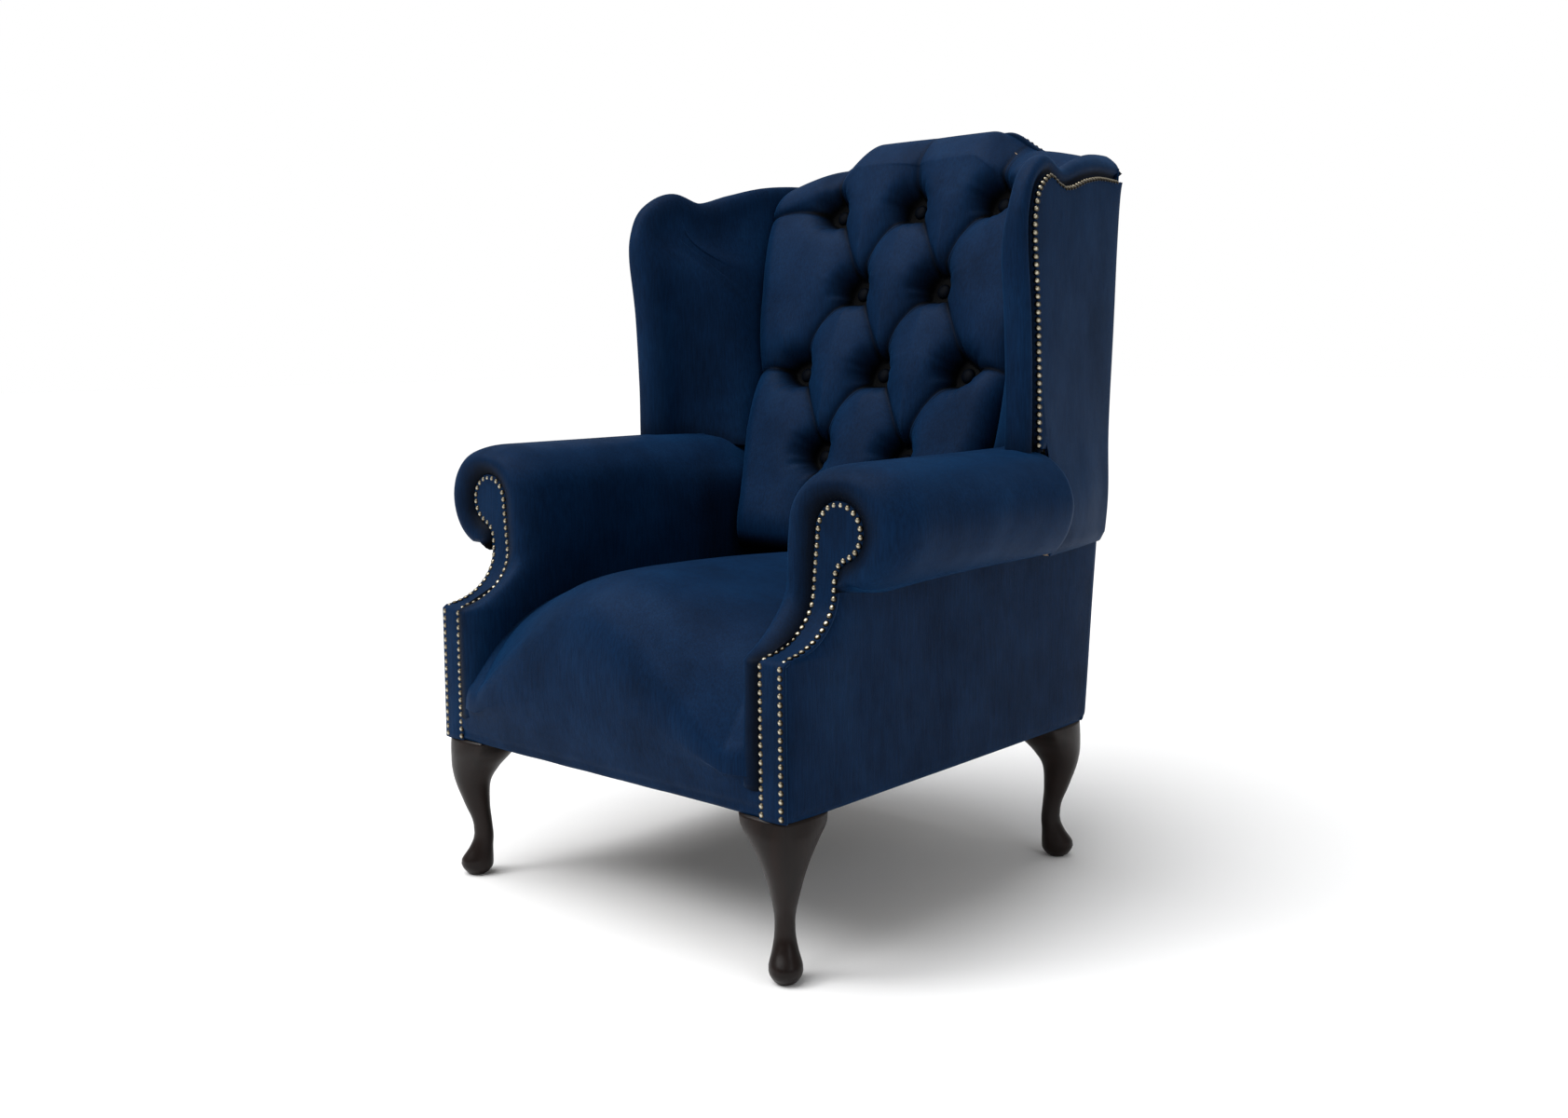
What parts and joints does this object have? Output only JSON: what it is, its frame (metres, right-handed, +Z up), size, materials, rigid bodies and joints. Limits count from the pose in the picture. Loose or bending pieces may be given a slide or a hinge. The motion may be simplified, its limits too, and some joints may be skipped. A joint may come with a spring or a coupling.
{
  "type": "wing armchair",
  "caption": "Deep-buttoned velvet wing armchair with rolled arms, a camel-back crest, domed seat, nailhead trim and cabriole legs.",
  "frame": {"origin": "on the floor, at the middle of the chair's outline seen from above", "axes": "+Z up, the chair faces -Y, +X is the sitter's left"},
  "size_m": [0.87, 0.7993, 1.098],
  "materials": {
    "velvet": "deep navy cotton velvet, soft sheen along the nap",
    "leg_wood": "very dark mahogany stain, satin lacquer",
    "nail_metal": "antique, silvered high spots and dark rims",
    "frame_wood": "planed beech, unfinished",
    "steel": "bright drawn wire and zinc plate",
    "hessian": "coarse jute weave",
    "foam": "open-cell upholstery foam",
    "twine": "waxed linen twine",
    "dust_cloth": "black non-woven cloth",
    "glide_plastic": "dark nylon"
  },
  "bodies": {
    "root": {"front_rail": "frame_wood", "rear_rail": "frame_wood", "side_rail_left": "frame_wood", "side_rail_right": "frame_wood", "corner_blocks": "frame_wood", "front_post_left": "frame_wood", "front_post_right": "frame_wood", "back_post_left": "frame_wood", "back_post_right": "frame_wood", "arm_rail_left": "frame_wood", "arm_rail_right": "frame_wood", "scroll_board_left": "frame_wood", "scroll_board_right": "frame_wood", "arm_tack_rail_left": "frame_wood", "arm_tack_rail_right": "frame_wood", "back_tack_rail": "frame_wood", "crest_rail": "frame_wood", "wing_board_left": "frame_wood", "wing_board_right": "frame_wood", "seat_springs": "steel", "spring_clips": "steel", "seat_hessian": "hessian", "seat_foam": "foam", "seat_cover": "velvet", "back_webbing": "hessian", "back_hessian": "hessian", "back_foam": "foam", "back_pad": "velvet", "back_buttons": "velvet", "button_twines": "twine", "arm_pad_left": "velvet", "arm_pad_right": "velvet", "wing_pad_left": "velvet", "wing_pad_right": "velvet", "arm_facing_left": "velvet", "arm_facing_right": "velvet", "outside_arm_left": "velvet", "outside_arm_right": "velvet", "outside_wing_left": "velvet", "outside_wing_right": "velvet", "outside_back": "velvet", "dust_cover": "dust_cloth", "facing_nails_left": "nail_metal", "facing_nails_right": "nail_metal", "wing_nails_left": "nail_metal", "wing_nails_right": "nail_metal", "back_nails": "nail_metal", "leg_front_left": "leg_wood", "leg_front_right": "leg_wood", "leg_rear_left": "leg_wood", "leg_rear_right": "leg_wood", "leg_bolts": "steel", "glides": "glide_plastic"}
  },
  "joints": []
}
